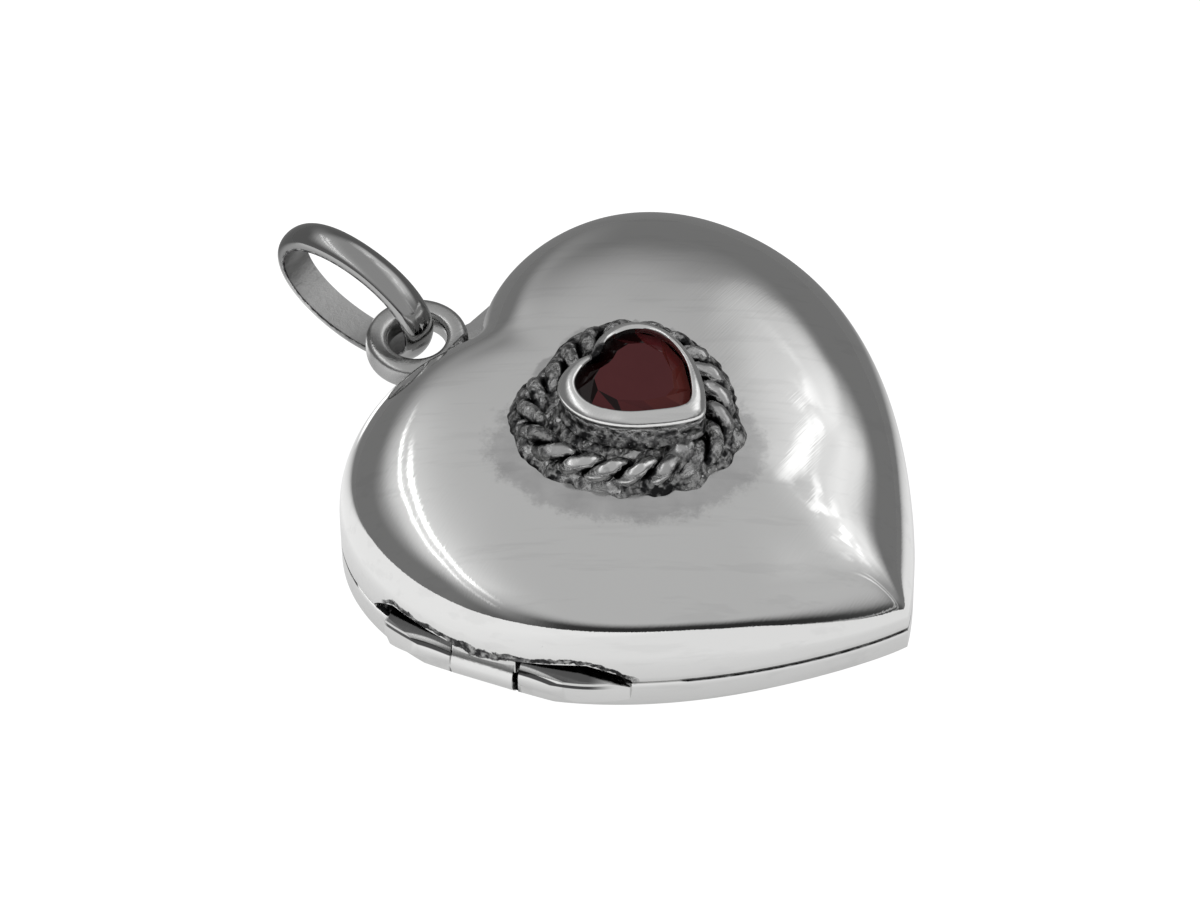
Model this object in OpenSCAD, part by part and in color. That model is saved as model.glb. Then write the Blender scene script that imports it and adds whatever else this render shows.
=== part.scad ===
// Heart locket: two hinged silver halves, a heart-cut garnet in a bezel with a rope border,
// a flat eyelet at the cleft and an oval bail that swings in it.
// It lies on its back. +Y runs from the heart's tip to the bail, +Z is the front.
// The origin is on the flat of the back, under the middle of the heart.

/* [Case] */
// Half of the heart's width, at the seam
half_w = 14.5; // [13:0.1:16]
// Height of the widest place above the tip, along Y
widest_y = 18.7; // [17.5:0.1:20]
// Height of the lobes above the tip
lobe_y = 28.1; // [27.5:0.1:29]
// Sideways place of the top of each lobe
lobe_x = 5.3; // [4.8:0.1:6]
// Height of the cleft above the tip
cleft_y = 26; // [25.3:0.1:26.5]
// Straight band of the front half above the seam
front_band = 1.15; // [0.8:0.05:1.5]
// Rise of the front dome above its band
front_rise = 5.1; // [4:0.1:6]
// Straight band of the back half below the seam
back_band = 1.35; // [1:0.05:1.6]
// Depth of the back dome below its band
back_rise = 1.35; // [1.2:0.05:2]
// Thickness of the silver sheet
sheet = 0.8; // [0.6:0.05:1]
// Gap between the two halves when the locket is shut
seam_gap = 0.08; // [0.04:0.01:0.12]

/* [Closing lip] */
// Height of the lip of the back half above the seam
lip_h = 0.7; // [0.5:0.05:0.9]
// Thickness of the lip
lip_t = 0.4; // [0.3:0.05:0.5]
// Gap between the lip and the wall of the front half
lip_clear = 0.12; // [0.1:0.01:0.2]

/* [Hinge] */
// Outer radius of the knuckles
knuckle_r = 1.05; // [1:0.01:1.1]
// Radius of the hinge pin
pin_r = 0.45; // [0.4:0.01:0.5]
// Gap all round the pin in the knuckle that turns
pin_clear = 0.04; // [0.02:0.01:0.08]
// Gap all round the pin in the knuckles that hold it
pin_seat = 0.01; // [0.01:0.01:0.03]
// Length of the middle knuckle, along the hinge
middle_knuckle = 3.2; // [2.8:0.1:3.6]
// Length of the knuckle towards the lobes
upper_knuckle = 3.8; // [3.4:0.1:4.2]
// Length of the knuckle towards the tip
lower_knuckle = 5.4; // [4.8:0.1:5.6]
// Slot between two knuckles
knuckle_gap = 0.15; // [0.1:0.01:0.2]

/* [Eyelet] */
// Radius of the middle line of the eyelet's ring
eyelet_r = 2.03; // [1.95:0.01:2.1]
// Width of the ring's section, from the hole outwards
eyelet_w = 1.15; // [1:0.05:1.2]
// Height of the ring's section
eyelet_h = 1.45; // [1.3:0.05:1.6]

/* [Bail] */
// Inside length of the bail
bail_in_l = 7.8; // [7.6:0.1:8.4]
// Inside height of the bail
bail_in_h = 4.9; // [4.8:0.1:5.4]
// Width of the bail's band
bail_w = 1.8; // [1.5:0.1:2]
// Thickness of the bail's band
bail_t = 0.8; // [0.6:0.05:0.9]

/* [Setting] */
// Width of the garnet
stone_w = 6; // [5.6:0.1:6.2]
// Height of the bezel's rim above the crown of the dome
bezel_h = 3; // [2.6:0.05:3.2]
// Radius of the twisted pair of wires round the bezel, at a crest
rope_r = 0.8; // [0.7:0.05:0.9]

/* [Hidden] */
$fn = 48;

// Steps of each curve of the outline: cleft to lobe, lobe to widest place, widest place to tip
cleft_steps = 6;
lobe_steps = 10;
side_steps = 12;
// Angle and reach of the outline's handle at the cleft
cleft_angle = 65.5;
cleft_reach = 1.5;
// Reaches of the handles at the lobe's top, the widest place and the tip
lobe_reach_in = 1.9;
lobe_reach_out = 3.95;
widest_reach_up = 7.4;
widest_reach_down = 9.2;
tip_reach = 3.8;
tip_angle = 22;
// Middle of the dome's rings on the heart's axis
dome_y = 20;
// Powers of the dome's section: along the radius, up its height, at the cleft and at the tip
radial_power = 4.2;
rise_power = 3.1;
cleft_power = 2.65;
tip_power = 1.35;
// How far from the cleft and the tip those powers reach
cleft_blend = 5.7;
tip_blend = 6.5;
// Height steps of a dome, and the power that gathers them near the crown
dome_steps = 8;
dome_gather = 0.65;
dome_top = pow(sin(90 * (dome_steps - 1) / dome_steps), dome_gather);
// The inside of a dome takes every second step
inner_skip = 2;
// Dome steps to each further rounding of the heart's corners
steps_per_rounding = 2;

back_depth = back_band + back_rise * dome_top;
crown_z = front_band + front_rise * dome_top;
half_gap = seam_gap / 2;
// The row's origin in the heart's frame, which has the tip at y = 0 and the seam at z = 0
origin_y = 14;

// Middle of the hinge in the heart's frame, and the hinge's angle off the heart's axis
hinge_x = 1.5 - half_w;
hinge_y = widest_y - 3.1;
hinge_z = -0.3;
hinge_angle = 15;
// Running gap round a knuckle, and the radius cut free where the other half's wall swings past
hinge_run = 0.1;
swing_r = 1.6;
// The back is filed flat under the hinge: the flat's distance from the hinge line and its slope.
// The middle knuckle is thickened outside to the same distance
flat_r = 1.36;
flat_angle = 41;
// Half height of the blocks that trim the knuckles and the lip
trim_h = 4;
// How far the filed knuckles stand out of the case's outline
knuckle_proud = 0.35;
// Lengths of the filed tapers at the hinge's two ends, and how far they go in
upper_taper = 0.3;
lower_taper = 2.4;
end_filed = 0.6;
// The front half is cut free this much further than the knuckles
upper_recess = 0.9;
lower_recess = 0.3;
middle_from = -middle_knuckle / 2;
upper_from = middle_knuckle / 2 + knuckle_gap;
lower_from = -upper_from - lower_knuckle;
hinge_l = upper_from + upper_knuckle - lower_from;
// The pin stops inside the filed ends
pin_stop = 1;
pin_from = lower_from + lower_taper;
pin_l = hinge_l - lower_taper - pin_stop;
// The lip stops this far from the hinge line
lip_stop = 2.4;

// Eyelet in the heart's frame: middle of its ring, and the roundness and points of its section
eyelet_y = 30.12;
eyelet_z = 1.3;
eyelet_power = 2.5;
eyelet_points = 20;
// Web between the two lobes that carries the ring: its plan, underside and top
web = [[0, 25.4], [-1.9, 26.9], [-2.2, 29.3], [2.2, 29.4], [3, 29.1], [5.3, 28.95], [4.6, 27.5],
    [1.9, 26.9]];
web_low = -1.2;
web_top = 0.85;
// Gap between the web and the front half
web_gap = 0.15;

// Bail in the heart's frame: middle of its oval and its tilt
bail_y = 34.02;
bail_z = 2.68;
bail_tilt = 11;
// Sides round the oval, its squareness, the flat edge of its band and the steps of its round face
bail_steps = 40;
bail_square = 2.07;
bail_edge = 0.3;
bail_arc_steps = 7;

// Setting in the heart's frame: middle of the stone, and heights above the crown
setting_x = -0.87;
setting_y = 15.44;
table_h = bezel_h - 0.1;
girdle_h = bezel_h - 0.6;
culet_h = 0.4;
cup_floor_h = 0.3;
plate_h = 0.12;
sunk = 0.45;
// Sizes across: what the bezel leaves open, the flat of its rim, its shoulder and its foot
bezel_open_w = stone_w - 0.3;
rim_w = stone_w;
shoulder_w = stone_w + 1.2;
foot_w = stone_w + 0.6;
shoulder_drop = 0.45;
rim_round = 0.02;
girdle_t = 0.12;
seat_gap = 0.04;
// Sizes of the stone's table, lower facets and culet as shares of its width
table_share = 0.66;
lower_share = 0.55;
culet_share = 0.08;
// The stone's facets take every fourth point of the heart
facet_skip = 4;
// Twisted wires: middle of their loop, distance outside the bezel's shoulder, height of their
// middle above the crown, crests and the loop's steps to each crest
rope_x = -1;
rope_y = 15.6;
rope_out = 1.25;
rope_h = 0.38;
rope_crests = 20;
steps_per_crest = 4;
rope_smoothing = 10;
// Thickness between crests as a share of that at a crest; the angles at which the wires' face
// starts beside the bezel and ends outside, and its steps; their foot's half width
rope_waist = 0.6;
rope_starts = 195;
rope_ends = -15;
rope_steps = 8;
rope_foot = 0.6;

function bezier(a, b, c, d, t) =
    a * pow(1 - t, 3) + b * 3 * t * pow(1 - t, 2) + c * 3 * t * t * (1 - t) + d * pow(t, 3);

// Right side of the seam's outline, from the cleft to the tip
cleft = [0, cleft_y];
lobe = [lobe_x, lobe_y];
widest = [half_w, widest_y];
tip = [0, 0];
right_side = concat(
    [for (i = [0 : cleft_steps - 1])
        bezier(cleft, cleft + cleft_reach * [cos(cleft_angle), sin(cleft_angle)],
            lobe - [lobe_reach_in, 0], lobe, i / cleft_steps)],
    [for (i = [0 : lobe_steps - 1])
        bezier(lobe, lobe + [lobe_reach_out, 0], widest + [0, widest_reach_up], widest, i / lobe_steps)],
    [for (i = [0 : side_steps])
        bezier(widest, widest - [0, widest_reach_down],
            tip + tip_reach * [cos(tip_angle), sin(tip_angle)], tip, i / side_steps)]);
// The whole outline, clockwise from the cleft
outline = concat(right_side,
    [for (i = [len(right_side) - 2 : -1 : 1]) [-right_side[i].x, right_side[i].y]]);
count = len(outline);

function unit(v) = v / norm(v);
function wrap(loop, i) = loop[(i + len(loop)) % len(loop)];
// Outward normal of a clockwise loop at its point i
function outward(loop, i) = let (t = unit(wrap(loop, i + 1) - wrap(loop, i - 1))) [-t.y, t.x];
function inset(loop, d) = [for (i = [0 : len(loop) - 1]) loop[i] - d * outward(loop, i)];
// A loop with its corners rounded, each point drawn towards its neighbours
function relaxed(loop, passes) = passes == 0 ? loop :
    relaxed([for (i = [0 : len(loop) - 1]) (wrap(loop, i - 1) + 2 * loop[i] + wrap(loop, i + 1)) / 4],
        passes - 1);
function at_height(loop, z) = [for (p = loop) [p.x, p.y, z]];

// Power of the dome's rise beside an outline point: sharper at the tip, softer at the cleft
function rise_at(p) = 1 / (1 / rise_power
    + (1 / cleft_power - 1 / rise_power) * exp(-pow(norm(p - cleft) / cleft_blend, 2))
    + (1 / tip_power - 1 / rise_power) * exp(-pow(norm(p - tip) / tip_blend, 2)));
// Share of the radius at which the dome has risen by the share u of its height
function dome_reach(p, u) = pow(1 - pow(u, rise_at(p)), 1 / radial_power);
function dome_level(k) = pow(sin(90 * k / dome_steps), dome_gather);
function dome_ring(loop, band, rise, side, k) =
    let (c = [0, dome_y], soft = relaxed(loop, floor(k / steps_per_rounding)))
        [for (i = [0 : count - 1])
            let (p = c + dome_reach(outline[i], dome_level(k)) * (soft[i] - c))
                [p.x, p.y, side * (band + rise * dome_level(k))]];

// Closed solid through rings of equal length: a flat cap, the walls, a flat cap
module stack(rings) {
    n = len(rings[0]);
    last = (len(rings) - 1) * n;
    polyhedron(points = [for (r = rings, p = r) p],
        faces = concat([[for (i = [0 : n - 1]) i]],
            [for (k = [0 : len(rings) - 2], i = [0 : n - 1], half = [0, 1])
                let (a = k * n + i, b = k * n + (i + 1) % n)
                    half == 0 ? [b, a, a + n] : [b, a + n, b + n]],
            [[for (i = [n - 1 : -1 : 0]) last + i]]));
}

// Closed solid through rings that come back to the first one
module ring_solid(rings) {
    n = len(rings[0]);
    m = len(rings);
    polyhedron(points = [for (r = rings, p = r) p],
        faces = [for (k = [0 : m - 1], i = [0 : n - 1], half = [0, 1])
            let (j = (i + 1) % n, a = k * n, c = ((k + 1) % m) * n)
                half == 0 ? [a + i, a + j, c + i] : [a + j, c + j, c + i]]);
}

// Heart's frame to the row's frame
module placed() {
    translate([0, -origin_y, back_depth]) children();
}

// Hinge's frame: its middle at the origin, Z along the hinge towards the lobes
module on_hinge() {
    translate([hinge_x, hinge_y, hinge_z]) rotate([0, 0, hinge_angle]) rotate([-90, 0, 0]) children();
}

// Cylinder along the hinge line
module along_hinge(from, length, r) {
    on_hinge() translate([0, 0, from]) cylinder(h = length, r = r);
}

// Cylinder along the hinge line with tapered ends
module barrel(from, length, r, low_taper = 0, high_taper = 0) {
    along_hinge(from + low_taper, length - low_taper - high_taper, r);
    if (low_taper > 0) on_hinge() translate([0, 0, from])
        cylinder(h = low_taper, r1 = r - end_filed, r2 = r);
    if (high_taper > 0) on_hinge() translate([0, 0, from + length - high_taper])
        cylinder(h = high_taper, r1 = r, r2 = r - end_filed);
}

// A knuckle, filed to stand only a little out of the case, and tapered where the hinge ends
module knuckle(from, length, low_taper = 0, high_taper = 0) {
    intersection() {
        union() barrel(from, length, knuckle_r, low_taper, high_taper);
        translate([0, 0, -trim_h]) linear_extrude(height = 2 * trim_h)
            polygon(inset(outline, -knuckle_proud));
    }
}

// Outer half of the middle knuckle, thickened to meet the filed flat of the back
module apron() {
    intersection() {
        along_hinge(middle_from, middle_knuckle, flat_r);
        on_hinge() translate([-trim_h, -trim_h, middle_from]) cube([trim_h, 2 * trim_h, middle_knuckle]);
    }
}

// What is filed off the back under the hinge
module filed_off() {
    on_hinge() rotate([0, 0, -flat_angle]) translate([-trim_h - flat_r, -trim_h, lower_from])
        cube([trim_h, 2 * trim_h, hinge_l]);
}

// Points spaced evenly along a loop
function run_to(loop, i) = i == 0 ? 0 : run_to(loop, i - 1) + norm(wrap(loop, i) - wrap(loop, i - 1));
function point_at(loop, runs, d, i = 0) = d <= runs[i + 1] || i == len(loop) - 1 ?
    let (t = (d - runs[i]) / (runs[i + 1] - runs[i])) wrap(loop, i) * (1 - t) + wrap(loop, i + 1) * t :
    point_at(loop, runs, d, i + 1);
function even(loop, n) = let (runs = [for (i = [0 : len(loop)]) run_to(loop, i)])
    [for (k = [0 : n - 1]) point_at(loop, runs, runs[len(loop)] * k / n)];

// Heart of the setting, as wide as stated, at a height above the crown
function small_heart(w, h, loop = outline) = let (s = w / (2 * half_w))
    [for (p = loop) [setting_x + s * p.x, setting_y + s * (p.y - lobe_y / 2), crown_z + h]];

// Setting: a cup whose rim is pressed in over the stone, and two wires twisted together and
// laid round its foot, all soldered to the dome
setting_steps = rope_crests * steps_per_crest;
all_steps = [0 : setting_steps - 1];
setting_loop = even(outline, setting_steps);
rope_loop = even([for (p = relaxed(inset(small_heart(shoulder_w, 0), -rope_out), rope_smoothing))
    [p.x - setting_x + rope_x, p.y - setting_y + rope_y]], setting_steps);
function rope_ring(from_middle, up) =
    [for (k = all_steps)
        let (p = rope_loop[k] + from_middle[k] * outward(rope_loop, k)) [p.x, p.y, crown_z + up[k]]];
function wire_r(a, k) =
    rope_r * (rope_waist + (1 - rope_waist) * pow(cos(a + 180 * k / steps_per_crest), 2));
function cup_ring(w, h) = small_heart(w, h, setting_loop);
module setting() {
    inside_w = stone_w + 2 * seat_gap;
    stack(concat(
        [cup_ring(inside_w, cup_floor_h), cup_ring(inside_w, girdle_h + seat_gap),
            cup_ring(bezel_open_w, bezel_h), cup_ring(rim_w, bezel_h + rim_round),
            cup_ring(shoulder_w, bezel_h - shoulder_drop), cup_ring(foot_w, plate_h)],
        [for (j = [0 : rope_steps])
            let (a = rope_starts + (rope_ends - rope_starts) * j / rope_steps)
                rope_ring([for (k = all_steps) wire_r(a, k) * cos(a)],
                    [for (k = all_steps) rope_h + wire_r(a, k) * sin(a)])],
        [rope_ring([for (k = all_steps) rope_foot], [for (k = all_steps) -sunk])]));
}

// Front half: a puffed shell, the soldered bezel and rope border, and the middle knuckle
module front_shell() {
    inner = inset(outline, sheet);
    stack(concat([for (k = [dome_steps - 1 : -1 : 1]) dome_ring(outline, front_band, front_rise, 1, k)],
        [at_height(outline, front_band), at_height(outline, half_gap),
            at_height(inner, half_gap), at_height(inner, front_band)],
        [for (k = [1 : inner_skip : dome_steps - 1])
            dome_ring(inner, front_band, front_rise - sheet, 1, k)]));
}

module front_half() {
    color("silver") placed() {
        difference() {
            union() {
                difference() {
                    front_shell();
                    along_hinge(upper_from - hinge_run, upper_knuckle + hinge_run + upper_recess, swing_r);
                    barrel(lower_from - lower_recess, lower_recess + lower_knuckle + hinge_run,
                        swing_r, lower_taper);
                }
                knuckle(middle_from, middle_knuckle);
                apron();
            }
            along_hinge(pin_from, pin_l, pin_r + pin_clear);
        }
        setting();
    }
}

// Back half: a flatter shell with the closing lip, the outer knuckles and the eyelet on its tab
module back_shell() {
    inner = inset(outline, sheet);
    lip_out = inset(outline, sheet + lip_clear);
    lip_in = inset(outline, sheet + lip_clear + lip_t);
    stack(concat(
        [for (k = [dome_steps - 1 : -inner_skip : 1]) dome_ring(inner, back_band, back_rise - sheet, -1, k)],
        [at_height(inner, -back_band), at_height(lip_in, -half_gap - lip_h), at_height(lip_in, lip_h),
            at_height(lip_out, lip_h), at_height(lip_out, -half_gap), at_height(outline, -half_gap),
            at_height(outline, -back_band)],
        [for (k = [1 : dome_steps - 1]) dome_ring(outline, back_band, back_rise, -1, k)]));
}

// Section of the eyelet's ring: an oval between a circle and a square
function ring_section() =
    [for (j = [0 : eyelet_points - 1])
        let (a = 360 * j / eyelet_points, c = cos(a), s = sin(a), e = 2 / eyelet_power)
            [eyelet_r + eyelet_w / 2 * sign(c) * pow(abs(c), e), eyelet_h / 2 * sign(s) * pow(abs(s), e)]];
module eyelet() {
    translate([0, eyelet_y, eyelet_z]) rotate_extrude() polygon(ring_section());
    difference() {
        translate([0, 0, web_low]) linear_extrude(height = web_top - web_low) polygon(web);
        translate([0, 0, -half_gap]) linear_extrude(height = 2 * web_top)
            polygon(inset(outline, -web_gap));
        translate([0, eyelet_y, -trim_h]) cylinder(h = 2 * trim_h, r = eyelet_r);
    }
}

module back_half() {
    color("silver") placed() difference() {
        union() {
            difference() {
                back_shell();
                along_hinge(middle_from - knuckle_gap, middle_knuckle + 2 * knuckle_gap, swing_r);
                filed_off();
                on_hinge() translate([-lip_stop, hinge_z - half_gap - trim_h, lower_from - hinge_run])
                    cube([2 * lip_stop, trim_h, hinge_l + 2 * hinge_run]);
            }
            knuckle(upper_from, upper_knuckle, high_taper = upper_taper);
            knuckle(lower_from, lower_knuckle, low_taper = lower_taper);
            eyelet();
        }
        along_hinge(pin_from - pin_clear, pin_l + 2 * pin_clear, pin_r + pin_seat);
    }
}

// Heart-cut stone: a flat table, crown facets, a thin girdle and lower facets to the culet
function facet_ring(share, h, shift) =
    [for (i = [0 : facet_skip : count - 1]) wrap(small_heart(stone_w * share, h), i + shift)];
module garnet() {
    half_turn = facet_skip / 2;
    color("darkred") placed()
        stack([facet_ring(table_share, table_h, half_turn), facet_ring(1, girdle_h, 0),
            facet_ring(1, girdle_h - girdle_t, 0),
            facet_ring(lower_share, (girdle_h + culet_h) / 2, half_turn),
            facet_ring(culet_share, culet_h, 0)]);
}

module hinge_pin() {
    color("dimgray") placed() along_hinge(pin_from, pin_l, pin_r);
}

// Bail: a band of half-round section bent into an oval, which stands across the eyelet's plane
function oval(a, grow) =
    let (c = cos(a), s = sin(a), e = 2 / bail_square)
        [(bail_in_l / 2 + grow) * sign(c) * pow(abs(c), e),
            (bail_in_h / 2 + grow) * sign(s) * pow(abs(s), e)];
module bail() {
    color("silver") placed() translate([0, bail_y, bail_z]) rotate([bail_tilt, 0, 0])
        ring_solid([for (k = [0 : bail_steps - 1])
            let (a = 360 * k / bail_steps, p = oval(a, 0), d = oval(a, bail_t) - p)
                concat([[bail_w / 2, p.x, p.y], [-bail_w / 2, p.x, p.y]],
                    [for (j = [0 : bail_arc_steps])
                        let (f = 180 - 180 * j / bail_arc_steps, u = bail_edge + (1 - bail_edge) * sin(f))
                            [bail_w / 2 * cos(f), p.x + d.x * u, p.y + d.y * u]])]);
}

back_half();
front_half();
garnet();
hinge_pin();
bail();
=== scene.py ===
import math

import bmesh
import bpy
import numpy as np
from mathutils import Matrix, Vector, noise
from mathutils.bvhtree import BVHTree


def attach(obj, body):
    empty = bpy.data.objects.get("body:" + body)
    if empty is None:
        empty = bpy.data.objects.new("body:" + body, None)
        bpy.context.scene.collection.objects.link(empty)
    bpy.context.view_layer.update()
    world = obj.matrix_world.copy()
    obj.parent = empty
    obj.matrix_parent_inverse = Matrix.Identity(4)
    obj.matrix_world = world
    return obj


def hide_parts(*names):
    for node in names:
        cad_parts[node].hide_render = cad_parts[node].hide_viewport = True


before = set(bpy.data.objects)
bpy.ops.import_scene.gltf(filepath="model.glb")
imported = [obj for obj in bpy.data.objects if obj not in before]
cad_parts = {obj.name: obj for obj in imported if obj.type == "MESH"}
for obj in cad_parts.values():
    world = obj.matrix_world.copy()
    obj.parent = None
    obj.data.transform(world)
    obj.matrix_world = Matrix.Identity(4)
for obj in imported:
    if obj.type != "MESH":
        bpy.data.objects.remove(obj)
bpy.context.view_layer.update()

# View
# The locket is seen from its hinge side, lying on its back, with a long lens.
camera_data = bpy.data.cameras.new("view")
camera_data.lens = 181.6
camera_data.sensor_width = 36
camera_data.clip_start = 0.01
camera = bpy.data.objects.new("view", camera_data)
camera.location = (-0.159186, -0.116193, 0.229378)
camera.rotation_euler = [math.radians(turn) for turn in (41.491, 0.653, -53.537)]
bpy.context.scene.collection.objects.link(camera)
bpy.context.scene.camera = camera
bpy.context.scene.view_settings.view_transform = "Standard"


class Wired:
    """One socket of a finish. Sums, products and powers of it add Math nodes; add() adds any other node."""

    def __init__(self, tree, socket=None):
        self.tree, self.socket = tree, socket

    def add(self, kind, inputs=None, settings=None, out=0):
        node = self.tree.nodes.new(kind)
        for key, value in (settings or {}).items():
            setattr(node, key, value)
        for key, value in (inputs or {}).items():
            if isinstance(value, Wired):
                self.tree.links.new(value.socket, node.inputs[key])
            else:
                node.inputs[key].default_value = value
        return Wired(self.tree, node.outputs[out])

    def sum_node(self, operation, first, second=0.0, third=0.0, clamp=False):
        return self.add("ShaderNodeMath", {0: first, 1: second, 2: third},
                        {"operation": operation, "use_clamp": clamp})

    def __add__(self, other):
        return self.sum_node("ADD", self, other)

    __radd__ = __add__

    def __mul__(self, other):
        return self.sum_node("MULTIPLY", self, other)

    __rmul__ = __mul__

    def __sub__(self, other):
        return self.sum_node("SUBTRACT", self, other)

    def __rsub__(self, other):
        return self.sum_node("SUBTRACT", other, self)

    def __pow__(self, power):
        return self.sum_node("POWER", self, power)

    def clamped(self):
        return self.sum_node("ADD", self, 0.0, clamp=True)

    def ramp(self, low, high):
        """0 where the value is below low, 1 above high, smooth between."""
        return self.add("ShaderNodeMapRange", {"Value": self, "From Min": low, "From Max": high},
                        {"interpolation_type": "SMOOTHSTEP"})

    def mixed(self, first, second):
        """A colour from first to second as this value goes from 0 to 1."""
        return self.add("ShaderNodeMix", {0: self, 6: first, 7: second}, {"data_type": "RGBA"}, out=2)


# Silver
# All the metal is one polished silver. Its old oxide stays where polishing doesn't reach, grey
# where thin and black where thick. Each mesh carries how much there is in the attribute "oxide",
# which in places also holds painted shade and painted reflections.

# Hinge line: its middle in the row's frame, its direction towards the lobes, and the radius cut free round it
HINGE_PLACE, HINGE_WAY, SWING_R = (-13.0, 1.6, 2.38308), (-0.258819, 0.965926, 0.0), 1.6
# The three knuckles' places along the line, and how long the cut's two tapers run beside them
MIDDLE, UPPER, LOWER = (-1.6, 1.6), (1.75, 5.55), (-7.15, -1.75)
UPPER_TAPER, LOWER_TAPER = 0.4, 2.1


def silver(name, gloss=0.07, wave=0.05, scratch=0.4, tooth=0.0, tint=(0.70, 0.70, 0.695), thick=0.0,
           hinge=False):
    """gloss is the roughness where polished, wave the unevenness in mm, scratch and tooth the marks' depth,
    thick the oxide that lies all over it, and hinge adds the hinge's ragged line of oxide and painted shade
    and the knuckles' painted dark reflection bands."""
    metal = bpy.data.materials.new(name)
    metal.use_nodes = True
    tree = metal.node_tree
    tree.nodes.clear()
    at = Wired(tree)
    place = at.add("ShaderNodeMapping", {"Vector": at.add("ShaderNodeTexCoord", out="Object"),
                                         "Scale": (1000, 1000, 1000)})

    def noise(scale, detail=3.0, rough=0.55, source=place):
        return at.add("ShaderNodeTexNoise", {"Vector": source, "Scale": scale, "Detail": detail,
                                             "Roughness": rough}, out="Fac")

    def vector(kind, first, second, out="Vector"):
        return at.add("ShaderNodeVectorMath", {0: first, 1: second}, {"operation": kind}, out)

    kept = at.add("ShaderNodeAttribute", settings={"attribute_name": "oxide"}, out="Fac") + thick
    cloud = noise(0.7, 4.0)
    grain = noise(3.2, 6.0, 0.7)
    spots = noise(1.3, 6.0, 0.75)
    if hinge:
        # Old oxide and painted shade in a ragged line round the hinge's cut, and painted dark reflections
        # in smooth bands on the knuckles' upper sides.
        gone = vector("SUBTRACT", place, HINGE_PLACE)
        run = vector("DOT_PRODUCT", gone, HINGE_WAY, "Value")
        rise = at.add("ShaderNodeSeparateXYZ", {0: gone}, out="Z")
        inward = vector("DOT_PRODUCT", gone, (HINGE_WAY[1], -HINGE_WAY[0], 0.0), "Value")
        facing = at.add("ShaderNodeTexCoord", out="Normal")
        lying = at.sum_node("ABSOLUTE", at.add("ShaderNodeSeparateXYZ", {0: facing}, out="Z"))
        away = (inward * inward + rise * rise) ** 0.5
        narrower = at.sum_node("MAXIMUM", LOWER[0] + LOWER_TAPER - run, 0.0) * 0.44 + \
            at.sum_node("MAXIMUM", run - (UPPER[1] - UPPER_TAPER), 0.0) * 0.65
        ragged = away + narrower + (spots - 0.5) * 0.5 + (cloud - 0.5) * 0.6
        middle = run.ramp(-2.0, -1.6) * (1 - run.ramp(1.6, 2.0))
        cut_oxide_and_shade = (ragged + middle * 0.12).ramp(SWING_R, SWING_R + 0.06) * rise.ramp(0.1, 0.4) * \
            (1 - ragged.ramp(SWING_R + 0.24, SWING_R + 0.36))
        cut_oxide_and_shade = cut_oxide_and_shade * run.ramp(-7.6, -7.1) * (1 - run.ramp(5.6, 6.0)) * (1 - lying.ramp(0.9, 0.97))
        outer_two = 1 - run.ramp(-1.75, -1.70) * (1 - run.ramp(1.70, 1.75))
        swell = at.sum_node("SINE", run * 1.15 + 0.9) * 0.09
        level = rise + swell
        painted_reflection_band = level.ramp(0.26, 0.32) * (1 - level.ramp(0.50, 0.54)) + level.ramp(0.66, 0.72) * 0.9
        knuckle_painted_reflection = (1 - away.ramp(1.36, 1.40)) * painted_reflection_band * outer_two * \
            run.ramp(-6.6, -5.2) * (1 - run.ramp(5.3, 5.6))
        # The ragged line round the cut is part old oxide and part painted shade.
        kept = kept + cut_oxide_and_shade * 0.75
    dents = noise(2.4, 2.5, 0.5)
    pits = noise(2.8, 2.0, 0.5)
    mottle = kept + ((grain - 0.5) * 0.4 + (dents - 0.5) * 1.3) * kept.ramp(0.38, 0.55)
    grey = mottle.ramp(0.34, 0.60)
    black = mottle.ramp(0.54, 0.84)
    # The grey haze is oxide; on the front shell it also holds a painted dark reflection of the setting.
    haze_and_reflection = (kept + (spots - 0.5) * 0.30).ramp(0.10, 0.20) * kept.ramp(0.0, 0.08) * (0.15 + cloud * 0.5)
    specks = spots.ramp(0.70, 0.76) * cloud.ramp(0.5, 0.62)
    wiped = at.add("ShaderNodeMapping", {"Vector": place, "Rotation": (0.0, 0.0, -0.934),
                                         "Scale": (7.0, 0.7, 1.0)}, {"vector_type": "TEXTURE"})
    smears = noise(1.0, 3.0, 0.6, wiped).ramp(0.52, 0.66)
    lines = at.add("ShaderNodeMapping", {"Vector": place, "Rotation": (0.0, 0.0, 0.6),
                                         "Scale": (0.35, 14.0, 5.0)})
    rubbed = noise(1.0, 2.0, 0.6, lines)
    colour = (haze_and_reflection * 1.15 + smears * 0.08).clamped().mixed((*tint, 1), (0.30, 0.30, 0.302, 1))
    pitted = pits.ramp(0.38, 0.62).mixed((0.13, 0.13, 0.132, 1), (0.40, 0.40, 0.397, 1))
    colour = grey.mixed(colour, pitted)
    colour = black.mixed(colour, (0.02, 0.02, 0.021, 1))
    glints = (grain.ramp(0.64, 0.70) * kept.ramp(0.3, 0.5)).clamped()
    colour = glints.mixed(colour, (0.85, 0.85, 0.845, 1))
    colour = (specks * 0.45).clamped().mixed(colour, (0.2, 0.2, 0.2, 1))
    if hinge:
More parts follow.
